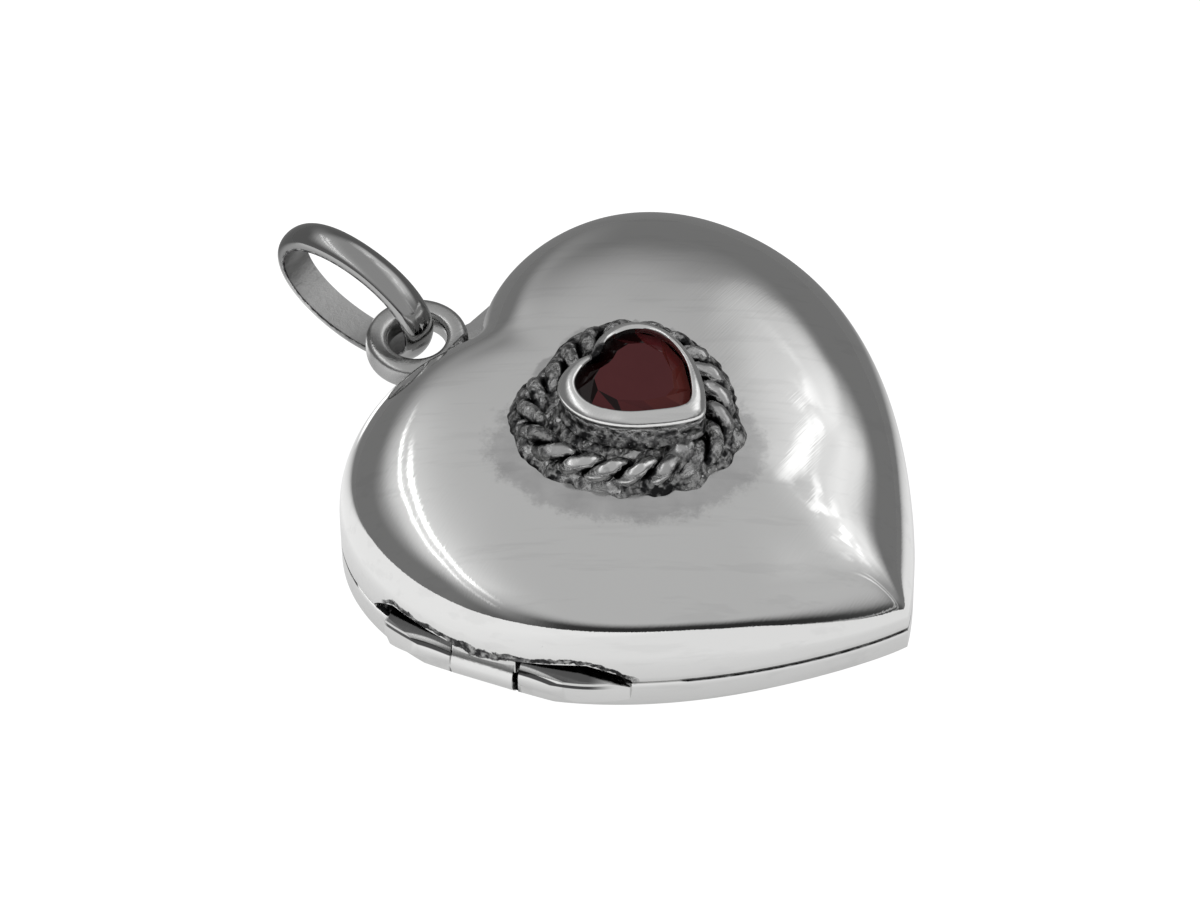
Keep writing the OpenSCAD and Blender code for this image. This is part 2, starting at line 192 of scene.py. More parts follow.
        # Near-black bands painted on the knuckles' upper sides: painted dark reflections.
        colour = knuckle_painted_reflection.clamped().mixed(colour, (0.06, 0.06, 0.061, 1))
    roughness = gloss + cloud * 0.012 + rubbed * 0.02 * scratch + haze_and_reflection * 0.3 + grey * 0.10
    height = noise(0.22, 1.0) * (wave * 4) + rubbed * (0.003 * scratch) + grain * (0.03 * tooth) + \
        grey * (dents * 0.12 + pits * 0.03)
    bump = at.add("ShaderNodeBump", {"Height": height, "Distance": 0.001, "Strength": 1.0}, out="Normal")
    shader = at.add("ShaderNodeBsdfPrincipled", {"Base Color": colour, "Metallic": 1.0,
                                                 "Roughness": roughness, "Normal": bump})
    output = tree.nodes.new("ShaderNodeOutputMaterial")
    tree.links.new(shader.socket, output.inputs["Surface"])
    return metal


case_silver = silver("case_silver", gloss=0.015, wave=0.010, scratch=0.5, hinge=True)
knuckle_silver = silver("knuckle_silver", gloss=0.08, wave=0.03, scratch=1.0, tooth=0.2, hinge=True)
bezel_silver = silver("bezel_silver", gloss=0.09, wave=0.20, scratch=1.5, tooth=0.2, tint=(0.72, 0.72, 0.715))
filed_silver = silver("filed_silver", gloss=0.30, wave=0.15, scratch=2.0, tooth=1.4, tint=(0.42, 0.42, 0.418))
bail_silver = silver("bail_silver", gloss=0.07, wave=0.05, scratch=0.8, tint=(0.37, 0.37, 0.368))
eyelet_silver = silver("eyelet_silver", gloss=0.14, wave=0.03, scratch=1.0, tooth=0.4,
                       tint=(0.48, 0.48, 0.476))
solder_silver = silver("solder_silver", gloss=0.10, wave=0.03, scratch=1.0, tooth=0.3,
                       tint=(0.60, 0.60, 0.597))
recess_silver = silver("recess_silver", gloss=0.25, wave=0.05, scratch=2.0, tooth=1.0, thick=0.85)


# Case
# Each half is pressed from sheet silver into a hollow heart: the front puffed, the back nearly
# flat, with a lip soldered inside it that the front closes over.
HALF_W = 14.5
CLEFT, LOBE, WIDEST, TIP = (np.array(p, float) for p in ((0, 26), (5.3, 28.1), (HALF_W, 18.7), (0, 0)))
ROW_Y, BACK_DEPTH, CROWN = 14.0, 2.68308, 6.18608
FRONT_BAND, FRONT_RISE, BACK_BAND, BACK_RISE = 1.15, 5.1, 1.35, 1.35
SHEET, HALF_GAP = 0.8, 0.04


def curve(a, b, c, d, steps):
    t = np.linspace(0, 1, steps, endpoint=False)[:, None]
    return a * (1 - t) ** 3 + b * 3 * t * (1 - t) ** 2 + c * 3 * t * t * (1 - t) + d * t ** 3


def turned(length, degrees):
    return length * np.array([math.cos(math.radians(degrees)), math.sin(math.radians(degrees))])


def heart(cleft_steps, lobe_steps, side_steps):
    """The seam's outline, clockwise from the cleft."""
    right = np.concatenate([
        curve(CLEFT, CLEFT + turned(1.5, 65.5), LOBE - (1.9, 0), LOBE, cleft_steps),
        curve(LOBE, LOBE + (3.95, 0), WIDEST + (0, 7.4), WIDEST, lobe_steps),
        curve(WIDEST, WIDEST - (0, 9.2), TIP + turned(3.8, 22), TIP, side_steps)])
    return np.concatenate([right, [TIP], right[:0:-1] * (-1, 1)])


def outward(loop):
    t = np.roll(loop, -1, 0) - np.roll(loop, 1, 0)
    t /= np.linalg.norm(t, axis=1)[:, None]
    return np.stack([-t[:, 1], t[:, 0]], 1)


def inset(loop, d):
    return loop - d * outward(loop)


def at_height(loop, z):
    return np.column_stack([loop, np.full(len(loop), z)])


outline = heart(20, 44, 56)


def near(point, reach):
    return np.exp(-(np.linalg.norm(outline - point, axis=1) / reach) ** 2)


rise_power = 1 / (1 / 3.1 + (1 / 2.65 - 1 / 3.1) * near(CLEFT, 5.7) + (1 / 1.35 - 1 / 3.1) * near(TIP, 6.5))


def runs_of(loop):
    closed = np.concatenate([loop, loop[:1]])
    return closed, np.concatenate([[0], np.cumsum(np.linalg.norm(np.diff(closed, axis=0), axis=1))])


def evened(loop, count):
    """Points spaced evenly along a closed loop."""
    closed, runs = runs_of(loop)
    goals = np.linspace(0, runs[-1], count, endpoint=False)
    return np.column_stack([np.interp(goals, runs, closed[:, k]) for k in (0, 1)])


def eased(loop, blur, count=1024):
    """The loop with its corners softened over the length blur."""
    closed, runs = runs_of(loop)
    waves = np.fft.fft(evened(loop, count), axis=0)
    waves *= np.exp(-(2 * np.pi * np.fft.fftfreq(count) * count / runs[-1] * blur) ** 2 / 2)[:, None]
    soft = np.fft.ifft(waves, axis=0).real
    soft = np.concatenate([soft, soft[:1]])
    goals = np.linspace(0, runs[-1], count + 1)
    return np.column_stack([np.interp(runs[:-1], goals, soft[:, k]) for k in (0, 1)])


def dome(loop, band, rise, side, levels):
    """Rings of a puffed heart at shares of its rise. Its corners soften upwards."""
    middle = np.array([0, 20.0])
    rings = []
    for u in levels:
        reach = (1 - u ** rise_power)[:, None] ** (1 / 4.2)
        rings.append(at_height(middle + reach * (eased(loop, 2.0 * u) - middle), side * (band + rise * u)))
    return rings


def levels(steps):
    t = np.linspace(0, 1, steps + 1)[1:]
    return np.sin(np.pi / 2 * t ** 1.4) ** 0.645


def loft(rings):
    """Points and faces through rings of equal length, with a middle point in each end."""
    n = len(rings[0])
    points = np.concatenate(rings)
    faces = []
    for k in range(len(rings) - 1):
        for i in range(n):
            j = (i + 1) % n
            faces.append((k * n + i, k * n + j, (k + 1) * n + j, (k + 1) * n + i))
    for end in (0, len(rings) - 1):
        points = np.concatenate([points, [rings[end].mean(0)]])
        m = len(points) - 1
        for i in range(n):
            a, b = end * n + i, end * n + (i + 1) % n
            faces.append((b, a, m) if end == 0 else (a, b, m))
    return points, faces


def shape(name, points, faces, finish, sharp=35.0):
    """A mesh from points in the heart's own frame, in mm, set in the row's frame."""
    mesh = bpy.data.meshes.new(name)
    placed = (np.asarray(points, float) + (0, -ROW_Y, BACK_DEPTH)) / 1000
    mesh.from_pydata(placed.tolist(), [], faces)
    thing = bpy.data.objects.new(name, mesh)
    bpy.context.scene.collection.objects.link(thing)
    bm = bmesh.new()
    bm.from_mesh(mesh)
    bmesh.ops.remove_doubles(bm, verts=bm.verts, dist=1e-7)
    bmesh.ops.recalc_face_normals(bm, faces=bm.faces)
    bm.to_mesh(mesh)
    bm.free()
    mesh.materials.append(finish)
    smooth(mesh, sharp)
    return thing


def smooth(mesh, sharp=35.0):
    mesh.polygons.foreach_set("use_smooth", [True] * len(mesh.polygons))
    mesh.set_sharp_from_angle(angle=math.radians(sharp))


def worked(thing, tools, operation="DIFFERENCE"):
    """thing with the tools cut away or joined on; the tools are used up."""
    for tool in tools:
        step = thing.modifiers.new("work", "BOOLEAN")
        step.operation = operation
        step.solver = "EXACT"
        step.material_mode = "TRANSFER"
        step.object = tool
    made = bpy.data.meshes.new_from_object(thing.evaluated_get(bpy.context.evaluated_depsgraph_get()))
    thing.modifiers.clear()
    old = thing.data
    thing.data = made
    made.name = thing.name
    bpy.data.meshes.remove(old)
    for tool in tools:
        bpy.data.objects.remove(tool)
    smooth(thing.data)
    return thing


def set_oxide(thing, amount):
    """amount takes the points in the heart's frame, in mm, and gives the oxide left at each."""
    mesh = thing.data
    points = np.empty(len(mesh.vertices) * 3)
    mesh.vertices.foreach_get("co", points)
    points = points.reshape(-1, 3) * 1000 - (0, -ROW_Y, BACK_DEPTH)
    layer = mesh.attributes.new("oxide", "FLOAT", "POINT")
    layer.data.foreach_set("value", np.clip(amount(points), 0, 1).astype(np.float32))


# The hinge line's middle in the heart's frame
HINGE = np.array([-13.0, 15.6, -0.3])
HINGE_WAY = np.array(HINGE_WAY)
# Radii of the knuckles and the pin, and the flat's distance from the line and its slope
KNUCKLE_R, PIN_R, FLAT_R, FLAT_ANGLE = 1.05, 0.45, 1.36, math.radians(41)
# The eased edge of a knuckle, how far the outer ends are filed down, and the gap beside a knuckle
EASE, END_FILED, RUN = 0.05, 0.6, 0.1
PIN_ENDS = (-4.75, 4.55)


def rod(name, profile, finish, sides=72):
    """A turned solid on the hinge line from (place, radius) pairs."""
    across = np.cross(HINGE_WAY, (0, 0, 1))
    angles = np.linspace(0, 2 * np.pi, sides, endpoint=False)[:, None]
    rings = [HINGE + HINGE_WAY * s + r * (np.cos(angles) * across + np.sin(angles) * np.array([0, 0, 1.0]))
             for s, r in profile]
    return shape(name, *loft(rings), finish)


def hinge_distance(points):
    gone = points - HINGE
    along = gone @ HINGE_WAY
    return along, np.linalg.norm(gone - along[:, None] * HINGE_WAY, axis=1)


def knuckle(name, profile):
    """A length of hinge tube, filed down almost to the case's outline."""
    tube = rod(name, profile, knuckle_silver)
    filed = inset(outline, -0.35)
    block = shape(name + "_block", *loft([at_height(filed, -3), at_height(filed, 3)]), knuckle_silver)
    return worked(tube, [block], "INTERSECT")


def brick(name, low, high, finish, turn=0.0):
    """A block on the hinge line, from sizes across it, up and along it, turned about it."""
    inward = np.cross(HINGE_WAY, (0, 0, 1))
    across = inward * math.cos(turn) + np.array([0, 0, math.sin(turn)])
    up = np.array([0, 0, math.cos(turn)]) - inward * math.sin(turn)
    corners = ((low[0], low[1]), (high[0], low[1]), (high[0], high[1]), (low[0], high[1]))
    rings = [np.array([HINGE + across * x + up * z + HINGE_WAY * s for x, z in corners])
             for s in (low[2], high[2])]
    return shape(name, *loft(rings), finish)


outer = [at_height(inset(outline, 0.10), HALF_GAP), at_height(inset(outline, 0.03), HALF_GAP + 0.03),
         at_height(outline, HALF_GAP + 0.11), at_height(outline, 0.4), at_height(outline, 0.8),
         at_height(outline, FRONT_BAND)] + dome(outline, FRONT_BAND, FRONT_RISE, 1, levels(54))
inner_loop = inset(outline, SHEET)
inner = dome(inner_loop, FRONT_BAND, FRONT_RISE - SHEET, 1, levels(24))[::-1] + \
    [at_height(inner_loop, FRONT_BAND), at_height(inner_loop, HALF_GAP + EASE),
     at_height(inset(outline, SHEET - EASE), HALF_GAP)]
front = shape("front_shell", *loft(inner + outer), case_silver)
upper_cut = [(UPPER[0] - RUN, SWING_R), (UPPER[1] - UPPER_TAPER, SWING_R), (UPPER[1] + 0.9, SWING_R - 0.85)]
lower_cut = [(LOWER[0] - 0.3, SWING_R - 1.05), (LOWER[0] + LOWER_TAPER, SWING_R), (LOWER[1] + RUN, SWING_R)]
front = worked(front, [rod("cut", upper_cut, recess_silver), rod("cut", lower_cut, recess_silver)])
front = worked(front, [knuckle("middle", [
    (MIDDLE[0], KNUCKLE_R - EASE), (MIDDLE[0] + EASE, KNUCKLE_R),
    (MIDDLE[1] - EASE, KNUCKLE_R), (MIDDLE[1], KNUCKLE_R - EASE)])], "UNION")
apron = rod("apron", [(MIDDLE[0], FLAT_R), (MIDDLE[1], FLAT_R)], knuckle_silver)
apron = worked(apron, [brick("half", (0, -4, -2), (4, 4, 2), knuckle_silver)])
front = worked(front, [apron], "UNION")
front = worked(front, [rod("bore", [(end, PIN_R + 0.04) for end in PIN_ENDS], filed_silver)])

small = heart(6, 10, 12)
# The setting's middle, the middle of the heart that it repeats, the rope's place beside it, and the way
# from the hinge to the far side
SETTING, HEART_MIDDLE, ROPE_SHIFT, FAR_SIDE = (
    np.array(p) for p in ((-0.87, 15.44), (0, 14.05), (-0.13, 0.16), (0.81, 0.59)))


def small_heart(loop, wide):
    return SETTING + (loop - HEART_MIDDLE) * (wide / (2 * HALF_W))


def relaxed(loop, times):
    for _ in range(times):
        loop = (np.roll(loop, 1, 0) + 2 * loop + np.roll(loop, -1, 0)) / 4
    return loop


rope_loop = relaxed(inset(small_heart(small, 7.2), -1.25), 10)
rope_loop = relaxed(evened(rope_loop + ROPE_SHIFT, 320), 12)


def rope_distance(points):
    """How far outside the rope's middle line each point lies, seen from above; negative inside."""
    gap = np.empty(len(points))
    side = outward(rope_loop)
    for start in range(0, len(points), 4000):
        part = points[start:start + 4000, None, :2] - rope_loop[None]
        d = np.linalg.norm(part, axis=2)
        closest = d.argmin(1)
        rows = np.arange(len(closest))
        gap[start:start + 4000] = d[rows, closest] * np.sign((part[rows, closest] * side[closest]).sum(1))
    return gap


def seam_oxide(points):
    """A dark line in the outer edge of the seam, left out at the hinge."""
    amount = np.zeros(len(points))
    level = np.abs(np.abs(points[:, 2]) - HALF_GAP - 0.03)
    for i in np.flatnonzero(level < 0.01):
        at_edge = np.linalg.norm(outline - points[i, :2], axis=1).min() < 0.06
        amount[i] = 0.9 * (at_edge and hinge_distance(points[i:i + 1])[1][0] > 1.65)
    return amount


def front_oxide_and_reflection(points):
    """Oxide haze and a painted dark reflection of the setting on the dome beside it, heavier on the near
    side and thicker under the old solder, and the seam's dark line.
    """
    out = rope_distance(points)
    # Heavier on the near side, where the setting's reflection shows: painted reflection.
    near_side_reflection = np.clip(0.55 - (points[:, :2] - SETTING) @ FAR_SIDE / 6, 0.25, 1)
    haze_and_reflection = np.clip(1 - (out - 0.9) / 2.8, 0, 1) * 0.36 * near_side_reflection
    return np.where(out < 0.6, 0.8, haze_and_reflection) * np.clip((points[:, 2] - 5.5) / 0.2, 0, 1) + seam_oxide(points)


set_oxide(front, front_oxide_and_reflection)
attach(front, "front")
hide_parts("front_half")

# The share of the back's rise at which its flat lies, and how far from the hinge line the lip stops
back_top, LIP_STOP = 0.98747, 2.4
outer = [at_height(outline, -BACK_BAND), at_height(outline, -0.8), at_height(outline, -0.4),
         at_height(outline, -HALF_GAP - 0.11), at_height(inset(outline, 0.03), -HALF_GAP - 0.03),
         at_height(inset(outline, 0.10), -HALF_GAP)]
lip_out, lip_in = inset(outline, SHEET + 0.12), inset(outline, SHEET + 0.52)
lip = [at_height(lip_out, -HALF_GAP), at_height(lip_out, 0.62), at_height(inset(outline, SHEET + 0.2), 0.7),
       at_height(inset(outline, SHEET + 0.44), 0.7), at_height(lip_in, 0.62), at_height(lip_in, -0.74)]
back_levels = np.append(levels(40)[levels(40) < back_top - 0.004], back_top)
inner_back = dome(inner_loop, BACK_BAND, BACK_RISE - SHEET, -1, levels(18))
back = shape("back_shell", *loft(dome(outline, BACK_BAND, BACK_RISE, -1, back_levels)[::-1] + outer + lip
                                 + [at_height(inner_loop, -BACK_BAND)] + inner_back), case_silver)
back = worked(back, [
    rod("cut", [(MIDDLE[0] - 0.15, SWING_R), (MIDDLE[1] + 0.15, SWING_R)], recess_silver),
    brick("cut", (-LIP_STOP, -HALF_GAP - HINGE[2], LOWER[0] - RUN),
          (LIP_STOP, 4.0, UPPER[1] + RUN), recess_silver),
    brick("filed", (-4 - FLAT_R, -4, LOWER[0]), (-FLAT_R, 4, UPPER[1]), case_silver, FLAT_ANGLE)])
back = worked(back, [knuckle("upper", [
    (UPPER[0], KNUCKLE_R - EASE), (UPPER[0] + EASE, KNUCKLE_R),
    (UPPER[1] - 0.3, KNUCKLE_R), (UPPER[1], KNUCKLE_R - END_FILED)])], "UNION")
back = worked(back, [knuckle("lower", [
    (LOWER[0], KNUCKLE_R - END_FILED), (LOWER[0] + 2.4, KNUCKLE_R),
    (LOWER[1] - EASE, KNUCKLE_R), (LOWER[1], KNUCKLE_R - EASE)])], "UNION")
back = worked(back, [rod("bore", [(PIN_ENDS[0] - 0.04, PIN_R + 0.01), (PIN_ENDS[1] + 0.04, PIN_R + 0.01)],
                         filed_silver)])


def back_oxide(points):
    """Old oxide on the wall cut free for the middle knuckle, and the seam's dark line."""
    along, away = hinge_distance(points)
    cut_wall = np.clip(1 - (away - SWING_R) / 0.1, 0, 1) * (away > 1.2) * (abs(along) < 1.9)
    return cut_wall * 0.6 + seam_oxide(points)


set_oxide(back, back_oxide)
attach(back, "back")
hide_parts("back_half")

# Hinge pin
# A drawn wire that holds the three knuckles together. Only slivers of it show in the slots.
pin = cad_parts["hinge_pin"]
pin.data.materials.clear()
pin.data.materials.append(filed_silver)

# Eyelet
# A ring of thick rounded wire on a web that is soldered between the two lobes of the back.
RING_R, RING_Y, RING_Z = 2.03, 30.12, 1.3
RING_HALF_W, RING_HALF_H, RING_POWER = 0.575, 0.725, 0.6
RING_STEPS, RING_SIDES = 128, 48


def tube_faces(sides, turns):
    """Faces of a tube that closes on itself, from sections of equal length."""
    return [(k * sides + i, k * sides + (i + 1) % sides,
             (k + 1) % turns * sides + (i + 1) % sides, (k + 1) % turns * sides + i)
            for k in range(turns) for i in range(sides)]


def signed_power(value, power):
    return math.copysign(abs(value) ** power, value)


angles = np.linspace(0, 2 * np.pi, RING_STEPS, endpoint=False)
section = [(RING_R + RING_HALF_W * signed_power(math.cos(a), RING_POWER),
            RING_HALF_H * signed_power(math.sin(a), RING_POWER))
           for a in np.linspace(0, 2 * np.pi, RING_SIDES, endpoint=False)]
points = [(r * math.cos(t), RING_Y + r * math.sin(t), RING_Z + h) for t in angles for r, h in section]
eyelet = shape("eyelet", points, tube_faces(RING_SIDES, RING_STEPS), eyelet_silver, 60)
web_end = [[-2.2, 29.3], [2.2, 29.4], [3, 29.1], [5.3, 28.95]]
web_plan = np.array([[0, 25.4], [-1.9, 26.9], *web_end, [4.6, 27.5], [1.9, 26.9]])
shoulder = outline[:24]
across = np.linspace(5.2, -2.2, 38)
edge = np.interp(np.abs(across), shoulder[:, 0], shoulder[:, 1])
lean = np.interp(np.abs(across), shoulder[:, 0], np.gradient(shoulder[:, 1], shoulder[:, 0]))
edge = edge + 0.17 * np.sqrt(1 + lean ** 2)
web_above = np.concatenate([web_end, np.column_stack([across, edge])])
hole = np.column_stack([RING_R * np.cos(angles), RING_Y + RING_R * np.sin(angles)])


def slab(name, plan, low, high, finish):
    """A flat piece of metal sawn to a plan."""
    n = len(plan)
    sides = [(i, (i + 1) % n, n + (i + 1) % n, n + i) for i in range(n)]
    return shape(name, np.concatenate([at_height(plan, low), at_height(plan, high)]),
                 [tuple(range(n)), tuple(range(2 * n - 1, n - 1, -1))] + sides, finish)


web = slab("eyelet_web", web_plan, -1.2, -0.04, eyelet_silver)
web = worked(web, [slab("above", web_above, -0.10, 0.85, eyelet_silver)], "UNION")
web = worked(web, [slab("cut", hole, -3, 3, eyelet_silver)])


def eyelet_oxide_and_shade(points):
    """Dark on the ring's outer wall, and old solder with painted shade where it runs to the case."""
    away = np.linalg.norm(points[:, :2] - (0, RING_Y), axis=1)
    wall = np.clip((away - 2.45) / 0.12, 0, 1) * (points[:, 2] < 1.85) * (points[:, 2] > 0.75) * 0.30
    # Where the web meets the case: old solder darkened further as painted shade in the gap.
    seam = np.clip(1 - (points[:, 1] - 28.0) / 0.5, 0, 1) * (points[:, 0] < 2.3) * 0.7
    return np.clip(wall + seam, 0, 1)


for piece in (eyelet, web):
    set_oxide(piece, eyelet_oxide_and_shade)
    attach(piece, "back")
    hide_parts("back_half")

# Bail
# A band of half-round wire bent into an oval and soldered shut below. Its outside is polished,
# and its flat inner face is left as it was drawn.
BAIL_HALF_L, BAIL_HALF_H, BAIL_HALF_W, BAIL_T = 3.9, 2.45, 0.9, 0.8
BAIL_Y, BAIL_Z, BAIL_POWER = 34.02, 2.68, 2 / 2.07
BAIL_STEPS, BAIL_ARC = 160, 20
tilt = math.radians(11)


def oval(a, grow):
    return np.array([(BAIL_HALF_L + grow) * signed_power(math.cos(a), BAIL_POWER),
                     (BAIL_HALF_H + grow) * signed_power(math.sin(a), BAIL_POWER)])


def bail_point(x, flat):
    y, z = flat[0] * 0.997, flat[1]
    return (x, BAIL_Y + y * math.cos(tilt) - z * math.sin(tilt),
            BAIL_Z + y * math.sin(tilt) + z * math.cos(tilt))


rings = []
for k in range(BAIL_STEPS):
    a = 2 * math.pi * k / BAIL_STEPS
    p = oval(a, 0)
    d = oval(a, BAIL_T) - p
    ring = [bail_point(x, p) for x in (BAIL_HALF_W, 0.45, 0, -0.80, -BAIL_HALF_W)]
    for j in range(BAIL_ARC + 1):
        f = math.pi * (1 - j / BAIL_ARC)
        ring.append(bail_point(BAIL_HALF_W * math.cos(f), p + d * (0.3 + 0.7 * math.sin(f))))
    rings.append(np.array(ring))
n = len(rings[0])
bail = shape("bail_ring", np.concatenate(rings), tube_faces(n, BAIL_STEPS), bail_silver, 50)
bail.data.materials.append(filed_silver)
# The inner face takes the first four strips of each section, and a dark line lies along the last of them
INNER_STRIPS = 4
for face in bail.data.polygons:
    if face.index % n < INNER_STRIPS:
        face.material_index = 1
set_oxide(bail, lambda points: (np.arange(len(points)) % n == INNER_STRIPS) * 0.9)
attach(bail, "bail")
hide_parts("bail")

# Bezel
# A cup of sheet silver soldered to the dome. Its rim is pushed in over the stone by hand and
# burnished bright, while its wall keeps its black oxide.
fine = heart(20, 36, 44)


def cup_ring(wide, h, uneven=0.0, seed=0, soften=0.25):
    """The bezel's outline at one height. Bent by hand, it is longer and blunter than the case's heart."""
    loop = small_heart(fine, wide)
    up = loop[:, 1] - SETTING[1]
    loop[:, 1] = SETTING[1] + np.where(up < 0, up * 1.13, up)
    loop = eased(loop, soften)
    far = np.clip((loop - SETTING) @ FAR_SIDE / 2.5, 0, 1) * min(1.0, max(0.0, (wide - 5.95) / 0.8)) * 0.20
    loop = loop - far[:, None] * FAR_SIDE
    turn = np.linspace(0, 2 * np.pi, len(loop), endpoint=False)
    shake = sum(np.sin(turn * k + seed * k * 1.7 + k * k) / k for k in (2, 3, 5, 7, 11)) * uneven
    return at_height(loop + outward(loop) * shake[:, None], CROWN + h)


inside = [cup_ring(5.95, 0.3), cup_ring(5.95, 2.44, 0.03, 1, 0.4), cup_ring(5.8, 2.72, 0.06, 1, 0.45)]
rim = [cup_ring(5.62, 2.94, 0.08, 2, 0.45), cup_ring(5.7, 3.01, 0.08, 2, 0.45),
       cup_ring(5.9, 3.03, 0.07, 2, 0.4), cup_ring(6.3, 2.99, 0.03, 3, 0.35),
       cup_ring(6.7, 2.88, 0.02, 3, 0.3), cup_ring(6.98, 2.70, 0.02, 4), cup_ring(7.1, 2.54, 0.03, 4)]
wall = [cup_ring(7.08, 2.46, 0.03, 4), cup_ring(6.95, 2.38, 0.03, 5), cup_ring(6.88, 1.9, 0.03, 5),
        cup_ring(6.86, 1.3, 0.04, 6), cup_ring(7.1, 1.2, 0.05, 6), cup_ring(7.12, 1.05, 0.05, 6),
        cup_ring(6.8, 0.9, 0.05, 7), cup_ring(6.9, 0.5, 0.05, 7), cup_ring(7.1, 0.1, 0.05, 8),
        cup_ring(7.1, -0.6)]
bezel = shape("bezel", *loft(inside + rim + wall), bezel_silver, 50)


def bezel_oxide(points):
    wall = np.clip((CROWN + 2.44 - points[:, 2]) / 0.12, 0, 1) * 0.62
    corner = np.linalg.norm(points[:, :2] - SETTING - (0.1, 2.2), axis=1)
    return np.maximum(wall, np.clip((0.9 - corner) / 0.3, 0, 1) * 0.9)


set_oxide(bezel, bezel_oxide)
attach(bezel, "front")
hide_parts("front_half")

# Solder
# The setting sits in a low uneven bank of old solder and oxide, which fills the gap between
# the bezel and the rope and ends in a scalloped edge on the dome.
ground = BVHTree.FromObject(front, bpy.context.evaluated_depsgraph_get())


def dome_height(x, y):
    """The dome's height in the heart's frame, in mm."""
    hit = ground.ray_cast(Vector((x / 1000, (y - ROW_Y) / 1000, 0.05)), Vector((0, 0, -1)))[0]
    return hit.z * 1000 - BACK_DEPTH


# The bank's section: heights above the dome at distances outwards from the rope's middle
BANK_OUT = (-1.9, -1.3, -0.9, -0.4, 0.2, 0.6, 0.85, 1.0, 1.06)
BANK_UP = (1.0, 0.80, 0.52, 0.45, 0.45, 0.36, 0.22, 0.08, -0.05)
BANK_SUNK = 0.45
bank_side = outward(rope_loop)
bank_top = []
for d in np.concatenate([np.linspace(-1.9, 0.5, 16), np.linspace(0.6, 1.06, 10)]):
    ring = []
    for i, (point, side) in enumerate(zip(rope_loop, bank_side)):
        wander = noise.fractal(Vector((*(point * 0.9), 3.0)), 1.0, 2.0, 3) * 0.28 * max(d, 0)
        lobes = abs(math.sin(i / len(rope_loop) * math.pi * 19)) * 0.12 * max(d, 0)
        x, y = point + side * (d + wander + lobes)
        bumps = noise.fractal(Vector((x * 2.2, y * 2.2, 0.0)), 0.8, 2.1, 4) * 0.16
        lump = 1.0 * math.exp(-(((x + 2.1) ** 2 + (y - 12.0) ** 2) / 0.7) ** 1.5)
        h = float(np.interp(d, BANK_OUT, BANK_UP))
        h += (bumps + lump) * min(1.0, max(0.0, (1.04 - d) / 0.3)) * (d > -1.8)
        ring.append((x, y, min(dome_height(x, y) + h, CROWN + 1.6)))
    bank_top.append(np.array(ring))
bank_foot = [np.array([(x, y, dome_height(x, y) - BANK_SUNK) for x, y, _ in ring])
             for ring in (bank_top[-1], bank_top[0])]
rings = bank_top + bank_foot
solder = shape("solder_bank", np.concatenate(rings), tube_faces(len(rope_loop), len(rings)),
               solder_silver, 80)


def solder_oxide(points):
    thick = np.array([noise.noise(Vector(point * 0.9)) for point in points])
    cleft = np.exp(-np.linalg.norm(points[:, :2] - (-0.6, 19.2), axis=1) ** 2 / 1.2)
    lump = np.exp(-np.linalg.norm(points[:, :2] - (-2.0, 12.0), axis=1) ** 2 / 0.6)
    return np.clip(0.62 + 0.40 * thick - 0.38 * lump + 0.5 * cleft, 0, 1)


set_oxide(solder, solder_oxide)
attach(solder, "front")
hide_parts("front_half")

# Rope border
# Two wires twisted together, laid round the bezel's foot and soldered down. The tops of the
# twist are worn bright and the hollows are black.
ROPE_UP, ROPE_TOP = 0.38, 0.62
path_mesh = bpy.data.meshes.new("rope_path")
path_points = (at_height(rope_loop, CROWN + ROPE_UP) + (0, -ROW_Y, BACK_DEPTH)) / 1000
count = len(path_points)
path_mesh.from_pydata(path_points.tolist(), [(i, (i + 1) % count) for i in range(count)], [])
rope = bpy.data.objects.new("rope_border", path_mesh)
bpy.context.scene.collection.objects.link(rope)

twist = bpy.data.node_groups.new("twisted_wires", "GeometryNodeTree")
twist.interface.new_socket("Path", in_out="INPUT", socket_type="NodeSocketGeometry")
TWIST_SIZES = {"Turns": 10.0, "Wire radius": 0.00043, "Apart": 0.00037,
               "Worn height": (CROWN + ROPE_UP + BACK_DEPTH + ROPE_TOP) / 1000, "Wear": 0.3,
               "Unevenness": 0.0002, "Lump size": 1400.0}
for label in TWIST_SIZES:
    twist.interface.new_socket(label, in_out="INPUT", socket_type="NodeSocketFloat")
twist.interface.new_socket("Metal", in_out="INPUT", socket_type="NodeSocketMaterial")
twist.interface.new_socket("Wires", in_out="OUTPUT", socket_type="NodeSocketGeometry")
made = Wired(twist)
given = twist.nodes.new("NodeGroupInput")
size = {socket.name: Wired(twist, socket) for socket in given.outputs if socket.name}


def vector(kind, first, second=(0, 0, 0)):
    key = 3 if kind == "SCALE" else 1
    return made.add("ShaderNodeVectorMath", {0: first, key: second}, {"operation": kind}, out="Vector")


path = made.add("GeometryNodeResampleCurve", {"Curve": made.add("GeometryNodeMeshToCurve", {0: size["Path"]}),
                                              "Count": 640})
here = made.add("GeometryNodeInputPosition")
along = made.add("GeometryNodeSplineParameter", out="Factor")
way = made.add("GeometryNodeInputTangent")
out_way = vector("NORMALIZE", vector("CROSS_PRODUCT", (0, 0, 1), way))
strands = []
for phase in (0.0, math.pi):
    angle = along * size["Turns"] * (-2 * math.pi) + phase
    push = vector("ADD", vector("SCALE", out_way, made.sum_node("COSINE", angle) * size["Apart"]),
                  vector("SCALE", (0, 0, 1), made.sum_node("SINE", angle) * size["Apart"]))
    strand = made.add("GeometryNodeSetPosition", {"Geometry": path, "Offset": push})
    round_wire = made.add("GeometryNodeCurvePrimitiveCircle", {"Resolution": 16,
                                                               "Radius": size["Wire radius"]})
    strands.append(made.add("GeometryNodeCurveToMesh", {"Curve": strand, "Profile Curve": round_wire}))
join = twist.nodes.new("GeometryNodeJoinGeometry")
